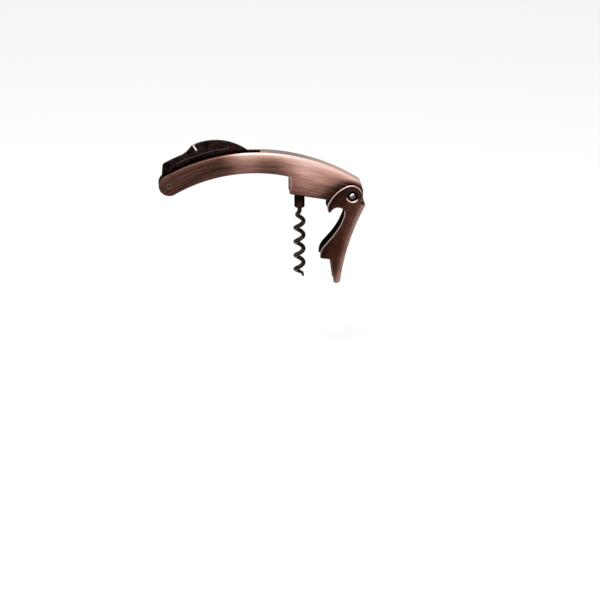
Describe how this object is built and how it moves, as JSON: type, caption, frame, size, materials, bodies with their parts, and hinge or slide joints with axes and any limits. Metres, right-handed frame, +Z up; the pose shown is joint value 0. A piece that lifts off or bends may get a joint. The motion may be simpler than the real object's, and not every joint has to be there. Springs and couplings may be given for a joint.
{
  "type": "waiter's corkscrew",
  "caption": "Folding waiter's corkscrew in antique copper: bowed grip, folding worm, hooked single-stage lever that also lifts crown caps, and a foil knife folded into the tail.",
  "frame": {"origin": "middle of the hand grip, inside the handle under the highest point of its bow", "axes": "+X from the rounded tail towards the lever, +Y across the handle away from the nail nick's side, +Z up, so the opened worm points along -Z"},
  "size_m": [0.1149, 0.0142, 0.0823],
  "materials": {
    "handle_copper": "brushed antique copper plating",
    "lever_copper": "dark antique copper plating",
    "rivet_copper": "worn copper plating, polished by use",
    "worm_steel": "blackened steel",
    "knife_steel": "darkened steel",
    "spring_steel": "plain spring steel"
  },
  "bodies": {
    "handle": {"handle": "handle_copper", "worm_pin": "handle_copper", "worm_washer_near": "spring_steel", "worm_washer_far": "spring_steel", "knife_pin": "handle_copper", "knife_spacer_near": "spring_steel", "knife_spacer_far": "spring_steel", "back_spring": "spring_steel", "spring_rivet": "spring_steel"},
    "lever_pin": {"lever_rivet": "rivet_copper", "rivet_washer_near": "worm_steel", "rivet_washer_far": "worm_steel"},
    "lever": {"lever": "lever_copper"},
    "worm": {"worm_shank": "worm_steel", "worm": "worm_steel"},
    "knife": {"knife_blade": "knife_steel"}
  },
  "joints": [
    {"name": "lever_fold", "type": "hinge", "parent": "handle", "child": "lever_pin", "pos_m": [0.0706, 0, -0.0175], "axis": [0, 1, 0], "range_deg": [0, 82]},
    {"name": "lever_swing", "type": "hinge", "parent": "lever_pin", "child": "lever", "pos_m": [0.0706, 0, -0.0175], "axis": [0, 1, 0], "range_deg": [-70, 0]},
    {"name": "worm_fold", "type": "hinge", "parent": "handle", "child": "worm", "pos_m": [0.0414, 0, -0.012], "axis": [0, 1, 0], "range_deg": [0, 96]},
    {"name": "knife_fold", "type": "hinge", "parent": "handle", "child": "knife", "pos_m": [-0.031, 0, -0.01012], "axis": [0, -1, 0], "range_deg": [0, 180]}
  ],
  "couplings": [
    {"joint": "worm_fold", "follows": "lever_fold", "ratio": 1.17}
  ]
}
